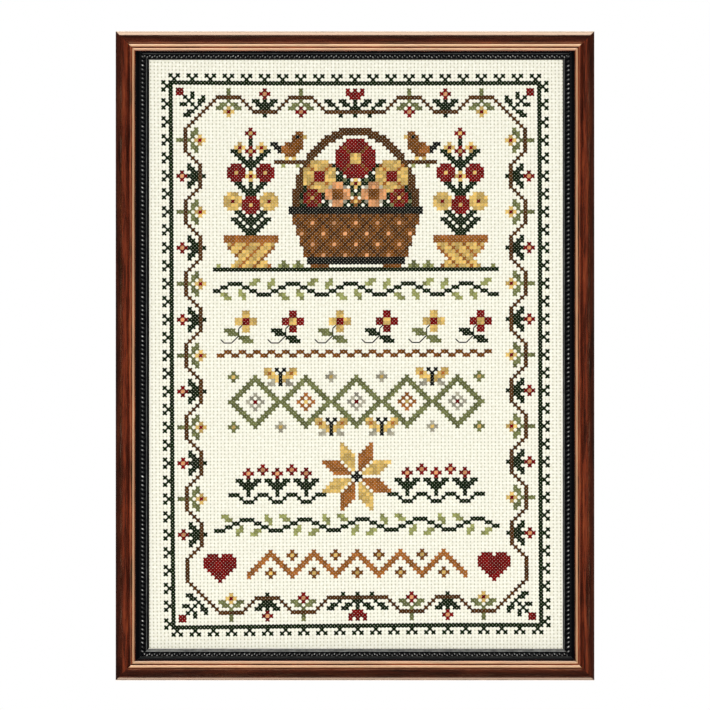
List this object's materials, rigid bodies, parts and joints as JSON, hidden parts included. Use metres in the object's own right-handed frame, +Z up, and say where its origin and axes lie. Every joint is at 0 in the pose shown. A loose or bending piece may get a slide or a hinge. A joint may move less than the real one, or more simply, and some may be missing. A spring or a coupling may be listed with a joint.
{
  "type": "cross stitch sampler in a wooden frame",
  "caption": "Upright cross stitch sampler on cream block cloth, stretched over a board in a narrow moulded dark wood frame with a black beaded slip; hangs on a wall.",
  "frame": {"origin": "middle of the back of the frame's top length, where the frame bears on the wall", "axes": "+Z up along the sampler's height, +Y into the wall, so that the picture faces -Y"},
  "size_m": [0.24, 0.019, 0.3254],
  "materials": {
    "stained_wood": "glossy red-brown stain",
    "black_slip": "black lacquer, beads rubbed with silver",
    "cream_cloth": "matt cotton block weave",
    "backing_board": "matt pressed board"
  },
  "bodies": {
    "root": {"frame_top": "stained_wood", "frame_right": "stained_wood", "frame_bottom": "stained_wood", "frame_left": "stained_wood", "slip_top": "black_slip", "slip_right": "black_slip", "slip_bottom": "black_slip", "slip_left": "black_slip", "sampler_cloth": "cream_cloth", "backing_board": "backing_board"}
  },
  "joints": []
}
